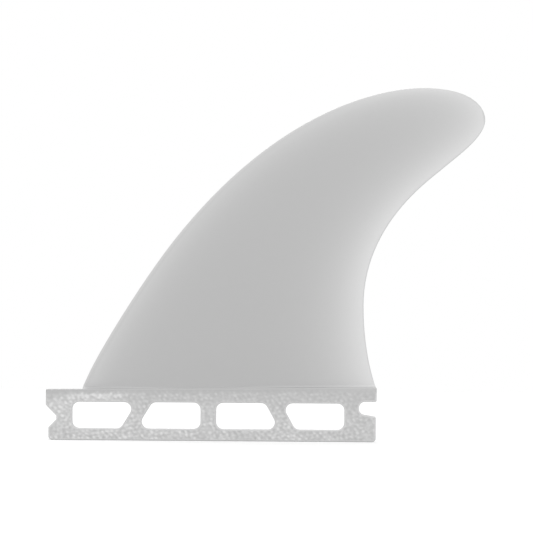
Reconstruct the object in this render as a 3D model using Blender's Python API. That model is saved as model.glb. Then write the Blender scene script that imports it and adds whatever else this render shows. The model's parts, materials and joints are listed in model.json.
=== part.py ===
"""A surfboard fin: a raked, foiled blade on one long tab, moulded in a single piece of translucent resin.

+X points aft, +Y across the board and +Z from the tab's foot to the blade's tip. The origin is the middle
of the tab's foot. Sizes are in metres and angles in degrees.
"""

from collections import namedtuple
from math import cos, exp, pi, radians, sin, sqrt, tan

import bmesh
import bpy
from mathutils import Matrix, Vector
from mathutils.geometry import interpolate_bezier

# A corner of a flat outline, and a knot of a smooth edge, with its heading and the curve's reach on each side
Corner = namedtuple("Corner", "x z radius")
Knot = namedtuple("Knot", "x z heading before after")

# The tab, which fills the slot of the board's fin box. Its top slopes, so it is deeper at its rear end
TAB_LENGTH = 0.1143
FRONT_DEPTH = 0.0175
REAR_DEPTH = 0.0188
TAB_THICKNESS = 0.0070
TAB_EDGE_RADIUS = 0.0004
LIP_CORNER = 0.0005
FOOT_CORNER = 0.0013

# The windows, which leave a truss of struts between two rails
TOP_RAIL = 0.0043
BOTTOM_RAIL = 0.0041
FRONT_LAND = 0.0092
REAR_LAND = 0.0111
STRUT_WIDTH = 0.0054
STRUT_LEANS = (31.5, 0.0, -29.0)
WINDOW_CORNER = 0.0024

# The slot in the tab's rear end, which hooks round the cross pin of the fin box
SLOT_ROOF = 0.0049
SLOT_DEPTH = 0.0061
SLOT_HEIGHT = 0.0042
SLOT_FLARE = 9.5
LOWER_JAW_SETBACK = 0.00025

# The notch in the tab's front end, where the clamping screw of the fin box bears
NOTCH_DEPTH = 0.0037
NOTCH_HEIGHT = 0.00775
NOTCH_FLAT = 0.0013
NOTCH_FLANK = 45.0
NOTCH_INNER_CORNER = 0.0003
TOE_SETBACK = 0.0010

# How far in from the tab's ends the blade's two edges stand, how steeply they rise there, and how far they
# reach before they bend
FRONT_LEDGE = 0.0126
FRONT_RISE = 76.0
FRONT_REACH = 0.0077
REAR_LEDGE = 0.0003
REAR_RISE = 109.5
REAR_REACH = 0.0095

# The blade's outline in side view, through five knots. Each is placed aft of the tab's middle and above the
# front end of its top, and the curve reaches along the knot's heading on each side of it
SHOULDER_AFT = -0.0140
SHOULDER_HEIGHT = 0.0508
SHOULDER_RISE = 52.5
SHOULDER_LOWER_REACH = 0.0178
SHOULDER_UPPER_REACH = 0.0600
CREST_AFT = 0.0727
BLADE_HEIGHT = 0.1050
CREST_FRONT_REACH = 0.0132
CREST_REAR_REACH = 0.0190
TIP_AFT = 0.0940
TIP_HEIGHT = 0.0942
TIP_UPPER_REACH = 0.0027
TIP_LOWER_REACH = 0.0061
NECK_AFT = 0.0795
NECK_HEIGHT = 0.0772
NECK_RISE = 41.2
NECK_LOWER_REACH = 0.0063
NECK_UPPER_REACH = 0.0068
WAIST_AFT = 0.0524
WAIST_HEIGHT = 0.0298
WAIST_LOWER_REACH = 0.0090
WAIST_UPPER_REACH = 0.0280

# The blade's section. At the root it leaves a step on each side of the tab's top, with a fillet in the corner
ROOT_STEP = 0.0005
ROOT_FILLET = 0.0010
END_FLARE = 0.00015
TIP_THICKNESS = 0.0032
TIP_FADE = 0.0120
EDGE_THICKNESS = 0.0008
NOSE_FULLNESS = 0.65

# How finely the surfaces are divided
ARC_STEP = 15.0
EDGE_ARCS = 3
CHORD_STEPS = 22
SPAN_STEPS = 46
TIP_CROWDING = 1.35
FILLET_STEPS = 5
PATH_STEPS = 200

# The blade goes on below the tab's top, and its fillet ends a little under it and inside its flat, so that
# the two fuse cleanly into one body
BLADE_SINK = 0.0020
FILLET_SINK = 0.00002
FILLET_SHARE_OF_STEP = 0.9
WELD = 0.000001

RESIN_COLOUR = (0.53, 0.53, 0.53, 1.0)
RESIN_ROUGHNESS = 0.4
SHARP_ANGLE = 35.0


def resin():
    """Pale grey resin with a soft shine."""
    material = bpy.data.materials.new("resin")
    material.use_nodes = True
    shader = material.node_tree.nodes["Principled BSDF"]
    shader.inputs["Base Color"].default_value = RESIN_COLOUR
    shader.inputs["Roughness"].default_value = RESIN_ROUGHNESS
    shader.inputs["Metallic"].default_value = 0.0
    material.diffuse_color = RESIN_COLOUR
    return material


def rounded(corners):
    """The points of a closed outline with its corners turned into arcs. A corner of radius 0 stays sharp."""
    points = []
    for i, corner in enumerate(corners):
        at = Vector((corner.x, corner.z))
        if corner.radius == 0:
            points.append(at)
            continue
        back = (Vector(corners[i - 1][:2]) - at).normalized()
        ahead = (Vector(corners[(i + 1) % len(corners)][:2]) - at).normalized()
        half_angle = back.angle(ahead) / 2
        centre = at + (back + ahead).normalized() * corner.radius / sin(half_angle)
        start = at + back * corner.radius / tan(half_angle) - centre
        end = at + ahead * corner.radius / tan(half_angle) - centre
        turn = -start.angle_signed(end)
        steps = max(2, round(abs(turn) / radians(ARC_STEP)))
        points += [centre + Matrix.Rotation(turn * k / steps, 2) @ start for k in range(steps + 1)]
    return points


def tab_outline():
    """The tab's edge in side view, from its top front corner aft and round."""
    front, rear = -TAB_LENGTH / 2, TAB_LENGTH / 2

    jaw = rear - LOWER_JAW_SETBACK
    slot_end = rear - SLOT_DEPTH
    roof = REAR_DEPTH - SLOT_ROOF
    floor = roof - SLOT_HEIGHT
    mouth_floor = floor - (jaw - slot_end) * tan(radians(SLOT_FLARE))
    slot_round = SLOT_HEIGHT / 2

    toe = front + TOE_SETBACK
    notch_end = front + NOTCH_DEPTH
    high, low = NOTCH_HEIGHT + NOTCH_FLAT / 2, NOTCH_HEIGHT - NOTCH_FLAT / 2
    flank = tan(radians(NOTCH_FLANK))
    return rounded(
        [
            Corner(front, FRONT_DEPTH, LIP_CORNER),
            Corner(rear, REAR_DEPTH, LIP_CORNER),
            Corner(rear, roof, LIP_CORNER),
            Corner(slot_end, roof, slot_round),
            Corner(slot_end, floor, slot_round),
            Corner(jaw, mouth_floor, LIP_CORNER),
            Corner(jaw, 0, FOOT_CORNER),
            Corner(toe, 0, FOOT_CORNER),
            Corner(toe, low - (notch_end - toe) * flank, LIP_CORNER),
            Corner(notch_end, low, NOTCH_INNER_CORNER),
            Corner(notch_end, high, NOTCH_INNER_CORNER),
            Corner(front, high + NOTCH_DEPTH * flank, LIP_CORNER),
        ]
    )


def window_outlines():
    """The windows are what the struts and the two solid ends leave open between the rails."""
    low, high = BOTTOM_RAIL, FRONT_DEPTH - TOP_RAIL
    first, last = -TAB_LENGTH / 2 + FRONT_LAND, TAB_LENGTH / 2 - REAR_LAND
    count = len(STRUT_LEANS) + 1
    length = (last - first - STRUT_WIDTH * (count - 1)) / count
    leans = (0.0, *STRUT_LEANS, 0.0)
    outlines = []
    for i in range(count):
        left = first + i * (length + STRUT_WIDTH)
        right = left + length
        left_lean = (high - low) / 2 * tan(radians(leans[i]))
        right_lean = (high - low) / 2 * tan(radians(leans[i + 1]))
        corners = (
            (left - left_lean, low),
            (left + left_lean, high),
            (right + right_lean, high),
            (right - right_lean, low),
        )
        outlines.append(rounded([Corner(x, z, WINDOW_CORNER) for x, z in corners]))
    return outlines


def smoothed(mesh):
    mesh.shade_smooth()
    mesh.set_sharp_from_angle(angle=radians(SHARP_ANGLE))
    return mesh


def tab_plate():
    """The tab: its outline with the windows left out, given its thickness and rounded edges."""
    curve = bpy.data.curves.new("tab", "CURVE")
    curve.dimensions = "2D"
    curve.fill_mode = "BOTH"
    curve.extrude = TAB_THICKNESS / 2 - TAB_EDGE_RADIUS
    curve.bevel_depth = TAB_EDGE_RADIUS
    curve.bevel_resolution = 1
    curve.offset = -TAB_EDGE_RADIUS
    for outline in [tab_outline(), *window_outlines()]:
        spline = curve.splines.new("POLY")
        spline.points.add(len(outline) - 1)
        for point, place in zip(spline.points, outline):
            point.co = (place.x, place.y, 0, 1)
        spline.use_cyclic_u = True
    plate = bpy.data.objects.new("tab_outline", curve)
    plate.rotation_euler.x = pi / 2
    bpy.context.scene.collection.objects.link(plate)
    bpy.context.view_layer.update()

    evaluated = plate.evaluated_get(bpy.context.evaluated_depsgraph_get())
    mesh = bpy.data.meshes.new_from_object(evaluated)
    mesh.transform(plate.matrix_world)
    bpy.data.objects.remove(plate)
    shape = bmesh.new()
    shape.from_mesh(mesh)
    bmesh.ops.remove_doubles(shape, verts=shape.verts, dist=WELD)
    # The fill can leave flat slivers between windows of one height, so its triangles are made even
    bmesh.ops.beautify_fill(shape, faces=shape.faces, edges=shape.edges)
    shape.to_mesh(mesh)
    shape.free()
    return smoothed(mesh)


def reached(knot, reach):
    """The point that lies that far from the knot along its heading."""
    heading = radians(knot.heading)
    return knot.x + reach * cos(heading), knot.z + reach * sin(heading)


def edge_path(knots):
    """Points along the smooth curve through the knots, each with its distance from the first."""
    points = [Vector((knots[0].x, knots[0].z))]
    for start, end in zip(knots, knots[1:]):
        handles = reached(start, 0), reached(start, start.after), reached(end, -end.before), reached(end, 0)
        points += interpolate_bezier(*handles, PATH_STEPS)[1:]
    distances = [0.0]
    for a, b in zip(points, points[1:]):
        distances.append(distances[-1] + (b - a).length)
    return points, distances


def along(path, share):
    """The place at that share of a path's length."""
    points, distances = path
    wanted = share * distances[-1]
    i = next(k for k, distance in enumerate(distances) if distance > wanted)
    part = (wanted - distances[i - 1]) / (distances[i] - distances[i - 1])
    return points[i - 1].lerp(points[i], part)


def top_rise(x):
    """How much higher the tab's top stands there than at its front end."""
    return (REAR_DEPTH - FRONT_DEPTH) * (x / TAB_LENGTH + 0.5)


def blade_edges():
    """The leading edge, from the root over the crest to the tip, and the trailing edge, from the root up."""
    front_foot = -TAB_LENGTH / 2 + FRONT_LEDGE
    front = Knot(front_foot, top_rise(front_foot), FRONT_RISE, 0, FRONT_REACH)
    shoulder = Knot(SHOULDER_AFT, SHOULDER_HEIGHT, SHOULDER_RISE, SHOULDER_LOWER_REACH, SHOULDER_UPPER_REACH)
    crest = Knot(CREST_AFT, BLADE_HEIGHT, 0, CREST_FRONT_REACH, CREST_REAR_REACH)
    tip = Knot(TIP_AFT, TIP_HEIGHT, -90, TIP_UPPER_REACH, TIP_LOWER_REACH)
    leading = edge_path([front, shoulder, crest, tip])

    rear_foot = TAB_LENGTH / 2 - REAR_LEDGE
    rear = Knot(rear_foot, top_rise(rear_foot), REAR_RISE, 0, REAR_REACH)
    waist = Knot(WAIST_AFT, WAIST_HEIGHT, 90, WAIST_LOWER_REACH, WAIST_UPPER_REACH)
    neck = Knot(NECK_AFT, NECK_HEIGHT, NECK_RISE, NECK_LOWER_REACH, NECK_UPPER_REACH)
    rising_tip = Knot(tip.x, tip.z, 90, tip.after, 0)
    trailing = edge_path([rear, waist, neck, rising_tip])
    return leading, trailing


def foil(share):
    """Thickness at a share of the chord, as a share of the greatest: a full nose and a fine tail."""
    peak = NOSE_FULLNESS / (1 + NOSE_FULLNESS)
    return (share / peak) ** NOSE_FULLNESS * (1 - share) / (1 - peak)


def fillet(place):
    """How far the root fillet stands out at that place above the tab, as a share of its radius."""
    height = place.y - top_rise(place.x)
    drop = 1 - min(max(height / ROOT_FILLET, 0), 1)
    return 1 - sqrt(1 - drop**2)


def half_section(chord, thickness):
    """One side of a section, as distances from the leading edge and half thicknesses, with rounded ends."""
    edge = EDGE_THICKNESS / 2
    turns = [pi / 2 * k / EDGE_ARCS for k in range(EDGE_ARCS)]
    nose = [(edge * (1 - cos(turn)), edge * sin(turn)) for turn in turns]
    shares = [(1 - cos(pi * k / CHORD_STEPS)) / 2 for k in range(CHORD_STEPS + 1)]
    body = [(edge + s * (chord - 2 * edge), edge + (thickness / 2 - edge) * foil(s)) for s in shares]
    tail = [(chord - x, y) for x, y in reversed(nose)]
    return nose + body + tail


def section_shares(root_to_tip):
    """Where the sections lie, as shares of the edges: close in the root fillet, and again towards the tip."""
    in_fillet = ROOT_FILLET / root_to_tip
    fillet_shares = [in_fillet * (1 - cos(pi / 2 * k / FILLET_STEPS)) for k in range(FILLET_STEPS)]
    rest = [1 - (1 - in_fillet) * (1 - k / SPAN_STEPS) ** TIP_CROWDING for k in range(SPAN_STEPS)]
    return fillet_shares + rest


def section(front, aft, share):
    """One closed section of the blade, from the leading edge along one side and back along the other."""
    chord_line = (aft - front).normalized()
    to_tip = abs((Vector((TIP_AFT, TIP_HEIGHT)) - front).cross(chord_line))
    root_thickness = TAB_THICKNESS - 2 * ROOT_STEP
    thickness = (
        EDGE_THICKNESS
        + (TIP_THICKNESS - EDGE_THICKNESS) * (1 - exp(-to_tip / TIP_FADE))
        + (root_thickness - TIP_THICKNESS) * (1 - share)
    )
    tip_round = sqrt(1 - max(0, 1 - 2 * to_tip / EDGE_THICKNESS) ** 2)
    front.x -= END_FLARE * fillet(front)
    aft.x += END_FLARE * fillet(aft)

    side = []
    for x, half in half_section((aft - front).length, thickness):
        place = front + chord_line * x
        step = TAB_THICKNESS / 2 - TAB_EDGE_RADIUS - half
        half += min(FILLET_SHARE_OF_STEP * step, ROOT_FILLET) * fillet(place)
        side.append(Vector((place.x, half * tip_round, FRONT_DEPTH + place.y)))
    other_side = [Vector((p.x, -p.y, p.z)) for p in side[-2:0:-1]]
    return side + other_side


def blade_loft():
    """The blade: a loft through its sections, from a foot inside the tab up to the rounded tip."""
    leading, trailing = blade_edges()
    shares = section_shares(trailing[1][-1])
    sections = [section(along(leading, share), along(trailing, share), share) for share in shares]
    for point in sections[0]:
        point.z -= FILLET_SINK
    foot = [point - Vector((0, 0, BLADE_SINK)) for point in sections[0]]

    shape = bmesh.new()
    rings = [[shape.verts.new(point) for point in ring] for ring in [foot, *sections]]
    for low, high in zip(rings, rings[1:]):
        for k in range(len(low)):
            shape.faces.new((low[k - 1], low[k], high[k], high[k - 1]))
    shape.faces.new(reversed(rings[0]))
    shape.faces.new(rings[-1])
    bmesh.ops.recalc_face_normals(shape, faces=shape.faces)
    mesh = bpy.data.meshes.new("blade")
    shape.to_mesh(mesh)
    shape.free()
    return smoothed(mesh)


def collection(name):
    made = bpy.data.collections.new(name)
    bpy.context.scene.collection.children.link(made)
    return made


def build():
    for old in list(bpy.data.objects):
        bpy.data.objects.remove(old)

    blade = bpy.data.objects.new("blade_form", blade_loft())
    blade.hide_render = True
    blade.display_type = "WIRE"
    collection("forms").objects.link(blade)

    fin = bpy.data.objects.new("fin", tab_plate())
    fin.data.materials.append(resin())
    collection("surfboard_fin").objects.link(fin)
    fuse = fin.modifiers.new("blade", "BOOLEAN")
    fuse.operation = "UNION"
    fuse.object = blade


build()
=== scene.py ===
import json
from math import atan, cos, exp, radians, sin

import bmesh
import bpy
from bpy.props import FloatProperty, FloatVectorProperty, PointerProperty
from mathutils import Euler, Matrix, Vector, noise
from mathutils.kdtree import KDTree

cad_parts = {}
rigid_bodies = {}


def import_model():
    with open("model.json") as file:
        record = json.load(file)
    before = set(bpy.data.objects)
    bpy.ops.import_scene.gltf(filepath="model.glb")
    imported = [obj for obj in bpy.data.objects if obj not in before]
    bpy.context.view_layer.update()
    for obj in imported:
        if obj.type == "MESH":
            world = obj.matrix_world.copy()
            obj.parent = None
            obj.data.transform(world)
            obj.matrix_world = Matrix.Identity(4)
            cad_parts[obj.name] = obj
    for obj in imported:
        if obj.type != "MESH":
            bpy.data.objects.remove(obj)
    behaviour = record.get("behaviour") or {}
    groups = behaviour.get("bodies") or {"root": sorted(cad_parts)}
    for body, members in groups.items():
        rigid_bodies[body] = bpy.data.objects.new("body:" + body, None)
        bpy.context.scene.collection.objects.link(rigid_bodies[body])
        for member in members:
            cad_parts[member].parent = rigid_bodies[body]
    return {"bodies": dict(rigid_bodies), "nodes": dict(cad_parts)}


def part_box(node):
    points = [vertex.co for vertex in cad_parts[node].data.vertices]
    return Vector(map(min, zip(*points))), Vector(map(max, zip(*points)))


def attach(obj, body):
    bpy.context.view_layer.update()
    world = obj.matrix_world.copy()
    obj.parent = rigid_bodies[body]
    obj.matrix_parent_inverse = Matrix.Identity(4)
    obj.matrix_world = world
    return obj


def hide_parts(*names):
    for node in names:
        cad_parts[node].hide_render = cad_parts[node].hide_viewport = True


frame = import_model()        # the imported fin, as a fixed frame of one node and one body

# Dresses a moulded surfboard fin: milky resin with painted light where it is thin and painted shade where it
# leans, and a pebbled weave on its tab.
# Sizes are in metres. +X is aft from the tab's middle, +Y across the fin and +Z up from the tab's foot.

bl_info = {
    "name": "Surfboard Fin",
    "version": (1, 0, 0),
    "blender": (4, 5, 0),
    "location": "3D View > Sidebar > Fin",
    "description": "Moulds the fine surface of a surfboard fin and sets it in a plain studio",
    "category": "Object",
}

NODE = "fin"
BODY = next(iter(frame["bodies"]))

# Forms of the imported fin
FIN_LOW, FIN_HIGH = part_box(NODE)
HALF_TAB = FIN_HIGH.y
TAB_LENGTH = -2 * FIN_LOW.x
TAB_FRONT_DEPTH = 0.0175
TAB_REAR_DEPTH = 0.0188
FILLET = 0.0007

# Where the blade's painted light through thin resin and its painted shade set in above the root
ROOT_BLEND = 0.0016      # height over which it sets in aft
FRONT_BLEND = 0.3        # share of that height over which it sets in at the front
THIN_LIGHT_RISE = 4.0           # how many times sooner the thin blade's paleness sets in than its shade
THINNESS = 3.0           # how strongly the shade follows the thin blade's paleness

# Fine unevenness of the whole skin
MOTTLE_SCALE = 900.0
MOTTLE_DETAIL = 4.0
MOTTLE_ROUGHNESS = 0.05
SKIN_STRENGTH = 0.15
SKIN_DEPTH = 0.00003

# The pebbles
PEBBLE_SHOULDER = 1.3    # how squarely a pebble's top falls off
LOWEST_PEBBLE = 0.75     # height of the lowest pebble, against the highest
GRAIN_STRETCH = 1.15     # length of the irregular bumps along the tab, against their width up it
SLIP_RUN = 5             # pebbles over which a row's slip changes
SLIP_APART = 3.7         # keeps the slips of two rows unlike each other
DRIFT_SEED = 1           # noise vectors take the clock for a seed until one is set

# How strongly the weave shows along the tab
FRONT_STRENGTH = 1.13
REARWARD_LOSS = 0.25
END_LOSS = 0.2           # how much weaker it is at the tab's very ends
END_POWER = 8            # how close to the ends that loss stays
CLOUDS = 0.15            # how much it varies from place to place
CLOUD_PEBBLES = 4        # size of those variations, in pebbles

# The tab's smooth band, and the painted light of its edges
BAND_WAVER = 0.3         # how much the band's width wavers
BAND_MIDDLE = 0.5        # puts the middle of the weave's setting in at the band's lower edge
ROW_SPREAD = 3           # the raised first row spreads over a row's pitch divided by this
RIM_START = 0.5          # depth below the tab's top at which its edges turn pale, in bands
TOP_SLACK = 3            # what lies below the top by less than the rim divided by this counts as on it

# The photograph's square frame: how much of the fin's plane it spans, what lies at its middle, and its tilt
FRAME_SPAN = 0.18422
FRAME_MIDDLE = Vector((0.01875, 0.0, 0.06039))
FRAME_TILT = -0.43

# The studio
KEY_PLACE = (0.25, -2.1, 2.4)
FILL_PLACE = (-0.6, 2.4, 1.9)
LAMP_SIZE = 1.6
FLOOR_COLOUR = (0.86, 0.86, 0.86, 1.0)
FLOOR_ROUGHNESS = 0.9
FLOOR_SEGMENTS = 96
CLIP_DISTANCES = 4       # how far the camera sees, in its distances from the fin

MERGE = 0.000001
FLAT = 0.999
LEVEL_ANGLE = 0.1        # faces of the tab's sides that differ by less are one, in degrees
SHARP_ANGLE = 35.0       # edges sharper than this aren't smoothed, in degrees
BLACK = (0.0, 0.0, 0.0, 1.0)
WHITE = (1.0, 1.0, 1.0, 1.0)


def length(name, default, description):
    return FloatProperty(
        name=name, description=description, default=default, subtype="DISTANCE", unit="LENGTH"
    )


def share(name, default, description):
    return FloatProperty(
        name=name, description=description, default=default, subtype="FACTOR", min=0.0, max=1.0
    )


def grey(name, default, description):
    return FloatVectorProperty(
        name=name, description=description, default=[default] * 3, subtype="COLOR", size=3, min=0.0, max=1.0
    )


def number(name, default, description, subtype="NONE"):
    return FloatProperty(name=name, description=description, default=default, subtype=subtype)


class ResinSettings(bpy.types.PropertyGroup):
    """The milky resin of the whole fin, with painted light where it is thin and painted shade where it leans.
    """

    thick_colour: grey("Thick colour", 0.483, "Colour of the resin where it is thick")
    # painted light: the thin resin's paler colour stands in for light shining through it; the clouding sets
    # how fast it fades with depth
    thin_colour: grey("Thin colour", 0.800, "Colour that the resin would have with no depth at all")
    clouding_depth: length("Clouding depth", 0.00116, "Depth at which the resin has clouded by two thirds")
    clouding_power: number("Clouding power", 1.60, "How late and how fast the clouding sets in")
    # painted shade: the blade's colour darkens as its surface leans away from the side view
    edge_shade: number("Edge shade", 1.3, "How fast the blade darkens as it leans away from the side view")
    darkest_shade: share("Darkest shade", 0.15, "Share of its colour that the blade loses at most by leaning")
    blade_roughness: share("Blade roughness", 0.34, "Roughness of the polished blade")
    tab_roughness: share("Tab roughness", 0.50, "Roughness of the pebbled tab")


class WeaveSettings(bpy.types.PropertyGroup):
    """The pebbled weave on the tab's two sides, and the painted light and shade of its edges and of the
    fillet.
    """

    mesh_pitch: length("Mesh pitch", 0.00024, "Distance between the mesh lines of the tab's sides")
    pebble_pitch: length("Pebble pitch", 0.0020, "Distance between two pebbles of a row")
    row_rise: length("Row rise", 0.00024, "How much a row rises from one pebble to the next")
    row_pitch: length("Row pitch", 0.00131, "Height from one row to the next")
    row_shift: length("Row shift", 0.00117, "How far aft each row's pebbles lie of those above")
    pebble_length: length("Pebble length", 0.00080, "Half the length of a pebble")
    pebble_width: length("Pebble width", 0.00062, "Half the width of a pebble")
    pebble_slope: number("Pebble slope", 42.0, "How far a pebble's length drops aft, in degrees")
    scatter: length("Scatter", 0.00030, "How far a pebble lies off its place")
    slip: number("Slip", 0.9, "How far the rows slip along each other, in pebbles")
    drift: length("Drift", 0.0004, "How far the rows wander")
    drift_size: length("Drift size", 0.006, "Length over which the rows wander")
    grain: length("Grain", 0.0008, "Size of the irregular bumps between the pebbles")
    grain_height: number("Grain height", 1.3, "Height of the irregular bumps, against the pebbles'")
    ground: share("Ground", 0.35, "Height of the ground between the pebbles, from the valleys to the crests")
    swell: share("Swell", 0.33, "How far a pebble stands above that ground")
    curl: number("Curl", 0.4, "How much further crests rise above the ground than valleys sink below it")
    relief: length("Relief", 0.00012, "Depth of the valleys where the weave's strength is 1")
    # partly the weave's own pattern and partly a painted highlight on the pebbles' crests
    pebble_colour: grey("Pebble colour", 0.80, "Colour of the pebbles' crests, where light gathers")

    rim: length("Rim", 0.00025, "Width over which the relief fades towards the tab's edges")
    # painted light on the tab's edges, window walls and top, and painted light and shade on the fillet
    rim_light: share("Rim light", 0.55, "How pale the tab's edges and window walls are, against the pebbles")
    top_light: share("Top light", 0.70, "How pale the tab's top is ahead of the blade, against the pebbles")
    fillet_light: share("Fillet light", 0.24, "How pale a thin blade's fillet is, against the pebbles")
    fillet_shade: share("Fillet shade", 0.13, "How far the fillet is darkened, against the pebbles' paleness")
    shade_low: number("Shade low", 0.5, "How far up the fillet its shade reaches at the front, in fillets")
    shade_high: number("Shade high", 1.2, "How far up the fillet its shade reaches aft, in fillets")
    shade_climb: length("Shade climb", 0.015, "Length aft of the tab's middle over which the shade climbs")
    fillet_start: length("Fillet start", -0.0454, "Where along the top the blade and its fillet begin")
    fillet_reach: length("Fillet reach", 0.0020, "Length over which the fillet's own light and shade set in")

    smooth_band: length("Smooth band", 0.0015, "Width of the smooth band along the tab's top")
    band_weave: share("Band weave", 0.2, "Strength of the weave in that band, against its strength below")
    band_fade: length("Band fade", 0.0018, "Height over which the weave sets in below that band")
    front_band: length("Front band", 0.0023, "How much wider the band is at the tab's front end")
    front_reach: length("Front reach", 0.0047, "Length over which the band narrows from there")
    first_row: length("First row", 0.0021, "Depth below the tab's top of the weave's raised first row")
    first_row_height: share("First row height", 0.22, "How much that row stands out")
    faintest: share("Faintest weave", 0.56, "Strength of the weave along the top, against the foot's")
    fade_start: length("Fade start", -0.0366, "Where along the top the weave begins to fade")
    fade_length: length("Fade length", 0.0155, "Length over which it fades")
    fade_foot: length("Fade foot", 0.0060, "Height below which the weave keeps its strength")
    fade_height: length("Fade height", 0.0085, "Height over which it fades")
    # painted light on the smooth band at the tab's rear end, stronger along the blade's foot
    rear_painted_light: share("Rear haze", 0.15, "How pale the smooth band is at its rear end, against the pebbles")
    foot_painted_light: number("Foot haze", 2.2, "How much stronger that haze is along the blade's foot")
    rear_light_start: length("Haze start", 0.028, "Where along the top that haze begins")
    rear_light_length: length("Haze length", 0.026, "Length over which it sets in")


class StudioSettings(bpy.types.PropertyGroup):
    """The floor, the lights and the camera."""

    camera_distance: length("Camera distance", 3.0, "From the camera to the fin's middle plane")
    floor_radius: length("Floor radius", 1.2, "Radius of the round floor")
    floor_glow: number("Floor glow", 0.20, "How much the floor glows to the camera, so that it looks white")
    sky_strength: number("Sky strength", 0.78, "Strength of the even light from all round")
    key_power: number("Key power", 24.3, "Power of the large lamp before the fin", "POWER")
    fill_power: number("Fill power", 18.0, "Power of the large lamp behind the fin", "POWER")


def put(tree, value, socket):
    """Links a socket's value to an input, or sets a plain value on it."""
    if isinstance(value, bpy.types.NodeSocket):
        tree.links.new(value, socket)
    else:
        socket.default_value = value


def add_node(tree, kind, inputs=None, **settings):
    """A new node with its settings made and its inputs set or linked."""
    node = tree.nodes.new(kind)
    for name, value in settings.items():
        setattr(node, name, value)
    for key, value in (inputs or {}).items():
        put(tree, value, node.inputs[key])
    return node


def add_math(tree, operation, *values):
    return add_node(tree, "ShaderNodeMath", dict(enumerate(values)), operation=operation).outputs[0]


def add_mix(tree, factor, low, high):
    """A blend of two colours by a mix node's colour sockets, with a factor that may go below 0."""
    inputs = {0: factor, 6: low, 7: high}
    return add_node(tree, "ShaderNodeMix", inputs, data_type="RGBA", clamp_factor=False).outputs[2]


def milky_resin(resin, weave):
    """Polished resin, paler where it is thin by painted light, darker where it leans by painted shade, and
    paler and rougher by the paleness attribute.
    """
    material = bpy.data.materials.new("milky_resin")
    material.use_nodes = True
    tree = material.node_tree
    shader = tree.nodes["Principled BSDF"]
    coordinates = add_node(tree, "ShaderNodeTexCoord")
    place = coordinates.outputs["Object"]
    across = add_node(tree, "ShaderNodeSeparateXYZ", {0: place}).outputs["Y"]
    facing = add_node(tree, "ShaderNodeSeparateXYZ", {0: coordinates.outputs["Normal"]}).outputs["Y"]
    on_blade = add_node(tree, "ShaderNodeAttribute", attribute_name="blade").outputs["Fac"]
    paleness = add_node(tree, "ShaderNodeAttribute", attribute_name="paleness").outputs["Fac"]

    # painted light: the resin is paler where it is thin, standing in for light shining through it
    depth = add_math(tree, "DIVIDE", add_math(tree, "ABSOLUTE", across), resin.clouding_depth)
    clouding = add_math(tree, "POWER", depth, resin.clouding_power)
    light_through = add_math(tree, "EXPONENT", add_math(tree, "MULTIPLY", clouding, -1.0))
    above_root = add_math(tree, "MINIMUM", add_math(tree, "MULTIPLY", on_blade, THIN_LIGHT_RISE), 1.0)
    light_through = add_math(tree, "MULTIPLY", light_through, above_root)
    body = add_mix(tree, light_through, (*resin.thick_colour, 1.0), (*resin.thin_colour, 1.0))

    # painted shade: the blade darkens as its surface leans away from the side view, most where it is thin
    lean = add_math(tree, "SUBTRACT", 1.0, add_math(tree, "MULTIPLY", facing, facing))
    shade = add_math(tree, "MINIMUM", add_math(tree, "MULTIPLY", lean, resin.edge_shade), resin.darkest_shade)
    thin = add_math(tree, "MINIMUM", add_math(tree, "MULTIPLY", light_through, THINNESS), 1.0)
    thin = add_math(tree, "MULTIPLY", thin, add_math(tree, "MULTIPLY", on_blade, on_blade))
    body = add_mix(tree, add_math(tree, "MULTIPLY", shade, thin), body, BLACK)
    # the paleness attribute brings the pebbles' pale crests and the painted light and shade of the tab's
    # edges, top and fillet
    put(tree, add_mix(tree, paleness, body, (*weave.pebble_colour, 1.0)), shader.inputs["Base Color"])

    noise_inputs = {"Vector": place, "Scale": MOTTLE_SCALE, "Detail": MOTTLE_DETAIL}
    mottle = add_node(tree, "ShaderNodeTexNoise", noise_inputs).outputs["Fac"]
    smoothest, roughest = resin.blade_roughness - MOTTLE_ROUGHNESS, resin.blade_roughness + MOTTLE_ROUGHNESS
    range_inputs = {"Value": mottle, "To Min": smoothest, "To Max": roughest}
    roughness = add_node(tree, "ShaderNodeMapRange", range_inputs).outputs["Result"]
    rougher = add_math(tree, "MULTIPLY", paleness, resin.tab_roughness - resin.blade_roughness)
    put(tree, add_math(tree, "ADD", roughness, rougher), shader.inputs["Roughness"])
    skin = add_node(
        tree, "ShaderNodeBump", {"Height": mottle, "Strength": SKIN_STRENGTH, "Distance": SKIN_DEPTH}
    )
    put(tree, skin.outputs["Normal"], shader.inputs["Normal"])
    return material


def once_each(items):
    """The items without repeats, in the order they come in, so that every run cuts the same mesh."""
    return list(dict.fromkeys(items))


def merged_fin():
    """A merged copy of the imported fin, whose own mesh is loose triangles."""
    fin = bmesh.new()
    fin.from_mesh(frame["nodes"][NODE].data)
    bmesh.ops.remove_doubles(fin, verts=fin.verts, dist=MERGE)
    return fin


def side_faces(fin):
    """The flat faces of the tab's two sides."""
    fin.normal_update()
    return [f for f in fin.faces if abs(f.normal.y) > FLAT and abs(f.verts[0].co.y) > HALF_TAB - MERGE]


def join_side_faces(fin):
    """Joins the triangles of each flat side into one face, which the scoring then cuts evenly."""
    flat = dict.fromkeys(side_faces(fin))
    bmesh.ops.dissolve_limit(
        fin,
        angle_limit=radians(LEVEL_ANGLE),
        verts=once_each(v for f in flat for v in f.verts),
        edges=once_each(e for f in flat for e in f.edges if all(g in flat for g in e.link_faces)),
    )


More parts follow.
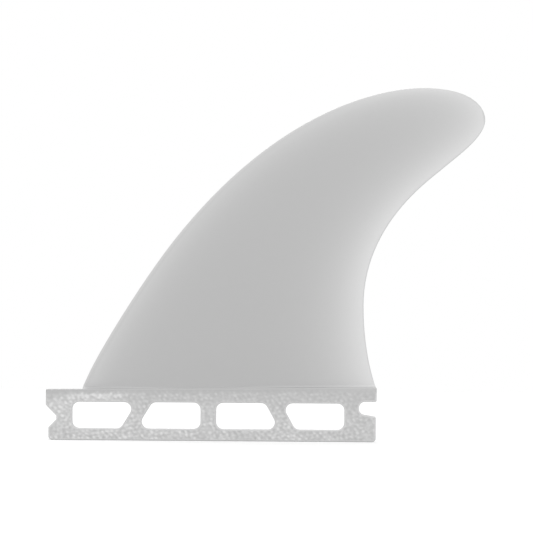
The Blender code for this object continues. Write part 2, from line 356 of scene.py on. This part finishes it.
def score_sides(fin, axis, pitch):
    """Cuts the tab's sides into strips along one axis, each cut through only what lies ahead of the last."""
    normal = Vector((0, 0, 0))
    normal[axis] = 1.0
    ahead = side_faces(fin)
    place = min(v.co[axis] for f in ahead for v in f.verts) + pitch
    while ahead:
        edges = once_each(e for f in ahead for e in f.edges)
        verts = once_each(v for f in ahead for v in f.verts)
        cut = bmesh.ops.bisect_plane(
            fin, geom=[*verts, *edges, *ahead], dist=MERGE, plane_co=normal * place, plane_no=normal
        )
        ahead = [
            f
            for f in cut["geom"]
            if isinstance(f, bmesh.types.BMFace) and max(v.co[axis] for v in f.verts) > place + MERGE
        ]
        place += pitch


def smoothstep(value):
    value = min(max(value, 0.0), 1.0)
    return value * value * (3 - 2 * value)


def blend(low, high, part):
    return low + (high - low) * part


def tab_top(x):
    """Height of the tab's top, which slopes against its foot."""
    return TAB_FRONT_DEPTH + (TAB_REAR_DEPTH - TAB_FRONT_DEPTH) * (x - FIN_LOW.x) / TAB_LENGTH


def pebble(place, weave):
    """Height of the weave at a place on the tab's side, from 0 in a valley to 1 on a crest."""
    drift = noise.noise_vector(place / weave.drift_size) * weave.drift
    spot = Vector((place.x + drift.x, place.z + drift.z))
    slope = radians(weave.pebble_slope)
    along = Vector((cos(slope), -sin(slope)))
    step = Vector((weave.pebble_pitch, weave.row_rise))
    next_row = Vector((weave.row_shift, -weave.row_pitch))
    cell = step.cross(next_row)
    nearest, row = round(spot.cross(next_row) / cell), round(step.cross(spot) / cell)
    height = 0.0
    for i in range(nearest - 1, nearest + 2):
        for j in range(row - 1, row + 2):
            chance = noise.cell_vector(Vector((i + 0.5, j + 0.5, place.y / MERGE)))
            slip = weave.slip * noise.noise(Vector((i / SLIP_RUN, SLIP_APART * j, place.y / MERGE)))
            off = spot - (i + slip) * step - j * next_row - chance.xy * weave.scatter
            far = (off.dot(along) / weave.pebble_length) ** 2 + (off.cross(along) / weave.pebble_width) ** 2
            height = max(height, (1 - far**PEBBLE_SHOULDER) * blend(LOWEST_PEBBLE, 1, chance.z))
    grain_spot = Vector((spot.x / GRAIN_STRETCH, place.y, spot.y)) / weave.grain
    height += weave.grain_height * noise.noise(grain_spot)
    return min(max(weave.ground + weave.swell * (exp(weave.curl * height) - 1) / weave.curl, 0.0), 1.0)


def faded(x, weave):
    """How far the weave along the tab's top has faded, from 0 at the front to 1 aft."""
    return smoothstep((x - weave.fade_start) / weave.fade_length)


def near_rear(x, weave):
    """How near to the tab's rear end a place is, from 0 to 1."""
    return smoothstep((x - weave.rear_light_start) / weave.rear_light_length)


def rear_painted_light(x, weave):
    """Painted light on the smooth resin towards the tab's rear end, against the pebbles."""
    return weave.rear_painted_light * near_rear(x, weave)


def strength(place, weave):
    """How strongly the weave shows: fully along the foot and at the front, and faintly along the top."""
    up = smoothstep((place.z - weave.fade_foot) / weave.fade_height)
    whole = (place.x - FIN_LOW.x) / TAB_LENGTH
    cloud = noise.noise(place / (CLOUD_PEBBLES * weave.pebble_pitch))
    fading = (1 - weave.faintest) * faded(place.x, weave) * up
    along_tab = FRONT_STRENGTH - REARWARD_LOSS * whole - END_LOSS * (2 * whole - 1) ** END_POWER
    return along_tab * (1 - fading) * (1 + CLOUDS * cloud)


def below_smooth_band(place, weave):
    """How far the weave has set in below the smooth band along the tab's top, from 0 to 1."""
    wider = weave.front_band * exp(-(((place.x - FIN_LOW.x) / weave.front_reach) ** 2))
    band = weave.smooth_band * (1 + BAND_WAVER * noise.noise(place / weave.row_pitch)) + wider
    below_top = tab_top(place.x) - place.z
    return smoothstep((below_top - band) / (weave.band_fade + wider) + BAND_MIDDLE)


def raised_row(place, weave):
    """Extra height of the weave's first row below the smooth band."""
    below_top = tab_top(place.x) - place.z
    row = exp(-(((below_top - weave.first_row) / (weave.row_pitch / ROW_SPREAD)) ** 2))
    row *= weave.first_row_height * (1 - faded(place.x, weave))
    return row


def edge_paleness(place, weave):
    """Painted light of the tab's edges, window walls and top, and painted light and shade of the fillet,
    which may be below 0 where the painted shade darkens it.
    """
    above_tab = place.z - tab_top(place.x)
    light, shade = weave.rim_light * smoothstep(-RIM_START - above_tab / weave.smooth_band), 0.0
    if above_tab > -weave.rim:
        under_blade = smoothstep((place.x - weave.fillet_start) / weave.fillet_reach)
        light = blend(weave.top_light, weave.fillet_light, under_blade)
        light *= strength(place, weave) * (1 - abs(place.y) / HALF_TAB)
        reach = blend(weave.shade_low, weave.shade_high, smoothstep(place.x / weave.shade_climb))
        shade = weave.fillet_shade * under_blade * (1 - near_rear(place.x, weave))
        shade *= smoothstep(reach - above_tab / FILLET)
    rear_light = rear_painted_light(place.x, weave)
    if above_tab > -weave.rim / TOP_SLACK:
        rear_light *= weave.foot_painted_light
    return max(light, rear_light) * smoothstep(1 - above_tab / FILLET) - shade


def rim_tree(verts, sides):
    """A search tree of the vertices on the sides' outlines."""
    rim = [v for v in verts if any(f not in sides for f in v.link_faces)]
    tree = KDTree(len(rim))
    for i, v in enumerate(rim):
        tree.insert(v.co, i)
    tree.balance()
    return tree


def emboss(fin, weave):
    """Sinks the weave's valleys into the tab's sides, and marks paleness, with its painted light and shade,
    and the blade as attributes.
    """
    noise.seed_set(DRIFT_SEED)
    blade_layer = fin.verts.layers.float.new("blade")
    paleness_layer = fin.verts.layers.float.new("paleness")
    for v in fin.verts:
        above_tab = v.co.z - tab_top(v.co.x)
        v[blade_layer] = smoothstep(above_tab / (ROOT_BLEND * blend(FRONT_BLEND, 1, faded(v.co.x, weave))))
        v[paleness_layer] = edge_paleness(v.co, weave)

    sides = dict.fromkeys(side_faces(fin))
    verts = once_each(v for f in sides for v in f.verts)
    rim = rim_tree(verts, sides)
    for v in verts:
        below_band = below_smooth_band(v.co, weave)
        rear_light = rear_painted_light(v.co.x, weave) * (1 - below_band)
        shown = strength(v.co, weave) * blend(weave.band_weave, 1, below_band)
        height = min(pebble(v.co, weave) + raised_row(v.co, weave), 1.0)
        from_rim = smoothstep(rim.find(v.co)[2] / weave.rim)
        side = 1 if v.co.y > 0 else -1
        # pale crests, partly the weave's pattern and partly painted highlight, with the painted light at the
        # rear
        paleness = min(height * shown + rear_light, 1.0)
        v[paleness_layer] = paleness * from_rim + v[paleness_layer] * (1 - from_rim)
        v.co.y -= side * weave.relief * (1 - height) * shown * from_rim


class FIN_OT_mould(bpy.types.Operator):
    """Mould the fin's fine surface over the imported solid"""

    bl_idname = "surfboard_fin.mould"
    bl_label = "Mould Fin"

    def execute(self, context):
        resin, weave = context.scene.fin_resin, context.scene.fin_weave
        fin = merged_fin()
        join_side_faces(fin)
        score_sides(fin, 0, weave.mesh_pitch)
        score_sides(fin, 2, weave.mesh_pitch)
        emboss(fin, weave)
        mesh = bpy.data.meshes.new("moulded_fin")
        fin.to_mesh(mesh)
        fin.free()
        mesh.shade_smooth()
        mesh.set_sharp_from_angle(angle=radians(SHARP_ANGLE))
        mesh.materials.clear()
        mesh.materials.append(milky_resin(resin, weave))

        moulded = bpy.data.objects.new("moulded_fin", mesh)
        context.scene.collection.objects.link(moulded)
        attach(moulded, BODY)
        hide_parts(NODE)
        return {"FINISHED"}


def seen_or_lit(tree, seen, lit):
    """One shader where the camera, a reflection or a clear material looks at it, and another otherwise."""
    path = add_node(tree, "ShaderNodeLightPath").outputs
    rays = add_math(tree, "MAXIMUM", path["Is Camera Ray"], path["Is Glossy Ray"])
    rays = add_math(tree, "MAXIMUM", rays, path["Is Transmission Ray"])
    return add_node(tree, "ShaderNodeMixShader", {0: rays, 1: lit, 2: seen}).outputs[0]


def pale_floor(studio):
    """White paint that glows a little to the camera, so that it looks white and still takes a shadow."""
    material = bpy.data.materials.new("pale_floor")
    material.use_nodes = True
    tree = material.node_tree
    shader = tree.nodes["Principled BSDF"]
    shader.inputs["Base Color"].default_value = FLOOR_COLOUR
    shader.inputs["Roughness"].default_value = FLOOR_ROUGHNESS
    shader.inputs["Specular IOR Level"].default_value = 0.0
    glow = add_node(tree, "ShaderNodeEmission", {"Color": WHITE, "Strength": studio.floor_glow}).outputs[0]
    seen = add_node(tree, "ShaderNodeAddShader", {0: shader.outputs[0], 1: glow}).outputs[0]
    surface = seen_or_lit(tree, seen, shader.outputs[0])
    put(tree, surface, tree.nodes["Material Output"].inputs["Surface"])
    return material


def add_lamp(name, place, power):
    """A large square lamp that faces the fin."""
    light = bpy.data.lights.new(name, "AREA")
    light.size = LAMP_SIZE
    light.energy = power
    lamp = bpy.data.objects.new(name, light)
    lamp.location = place
    lamp.rotation_euler = (FRAME_MIDDLE - Vector(place)).to_track_quat("-Z", "Y").to_euler()
    lamp.visible_camera = False
    bpy.context.scene.collection.objects.link(lamp)


def add_floor(studio):
    """A round floor under the tab's foot."""
    disc = bmesh.new()
    bmesh.ops.create_circle(disc, cap_ends=True, segments=FLOOR_SEGMENTS, radius=studio.floor_radius)
    mesh = bpy.data.meshes.new("floor")
    disc.to_mesh(mesh)
    disc.free()
    mesh.materials.append(pale_floor(studio))
    floor = bpy.data.objects.new("floor", mesh)
    bpy.context.scene.collection.objects.link(floor)


def add_sky(studio):
    """Even light from all round, which looks plain white."""
    world = bpy.data.worlds.new("studio")
    world.use_nodes = True
    tree = world.node_tree
    white = add_node(tree, "ShaderNodeBackground", {"Color": WHITE, "Strength": 1.0}).outputs[0]
    sky = add_node(tree, "ShaderNodeBackground", {"Color": WHITE, "Strength": studio.sky_strength}).outputs[0]
    put(tree, seen_or_lit(tree, white, sky), tree.nodes["World Output"].inputs["Surface"])
    bpy.context.scene.world = world


def add_camera(studio):
    """A long lens square to the fin's side, which frames it as the photograph does."""
    camera = bpy.data.cameras.new("camera")
    camera.angle = 2 * atan(FRAME_SPAN / 2 / studio.camera_distance)
    camera.clip_end = CLIP_DISTANCES * studio.camera_distance
    eye = bpy.data.objects.new("camera", camera)
    eye.location = FRAME_MIDDLE - Vector((0, studio.camera_distance, 0))
    eye.rotation_euler = Euler((radians(90), radians(FRAME_TILT), 0))
    bpy.context.scene.collection.objects.link(eye)
    bpy.context.scene.camera = eye


class FIN_OT_studio(bpy.types.Operator):
    """Set the fin on a pale floor, in soft light, before a camera with a long lens"""

    bl_idname = "surfboard_fin.studio"
    bl_label = "Set Studio"

    def execute(self, context):
        studio = context.scene.fin_studio
        add_floor(studio)
        add_sky(studio)
        add_lamp("key_lamp", KEY_PLACE, studio.key_power)
        add_lamp("fill_lamp", FILL_PLACE, studio.fill_power)
        add_camera(studio)
        context.scene.view_settings.view_transform = "Standard"
        return {"FINISHED"}


class FIN_PT_sidebar(bpy.types.Panel):
    """Lists the fin's operators with their settings"""

    bl_idname = "FIN_PT_sidebar"
    bl_label = "Surfboard Fin"
    bl_space_type = "VIEW_3D"
    bl_region_type = "UI"
    bl_category = "Fin"

    def draw(self, context):
        scene = context.scene
        for operator, groups in (
            (FIN_OT_mould, (scene.fin_resin, scene.fin_weave)),
            (FIN_OT_studio, (scene.fin_studio,)),
        ):
            box = self.layout.box()
            for group in groups:
                for name in group.__annotations__:
                    box.prop(group, name)
            box.operator(operator.bl_idname)


CLASSES = (ResinSettings, WeaveSettings, StudioSettings, FIN_OT_mould, FIN_OT_studio, FIN_PT_sidebar)


def register():
    for one in CLASSES:
        bpy.utils.register_class(one)
    bpy.types.Scene.fin_resin = PointerProperty(type=ResinSettings)
    bpy.types.Scene.fin_weave = PointerProperty(type=WeaveSettings)
    bpy.types.Scene.fin_studio = PointerProperty(type=StudioSettings)


def unregister():
    del bpy.types.Scene.fin_studio
    del bpy.types.Scene.fin_weave
    del bpy.types.Scene.fin_resin
    for one in reversed(CLASSES):
        bpy.utils.unregister_class(one)


def main():
    """Builds the fin and its studio."""
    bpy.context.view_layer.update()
    register()
    bpy.ops.surfboard_fin.mould()
    bpy.ops.surfboard_fin.studio()
    bpy.context.view_layer.update()


if __name__ == "__main__":
    main()
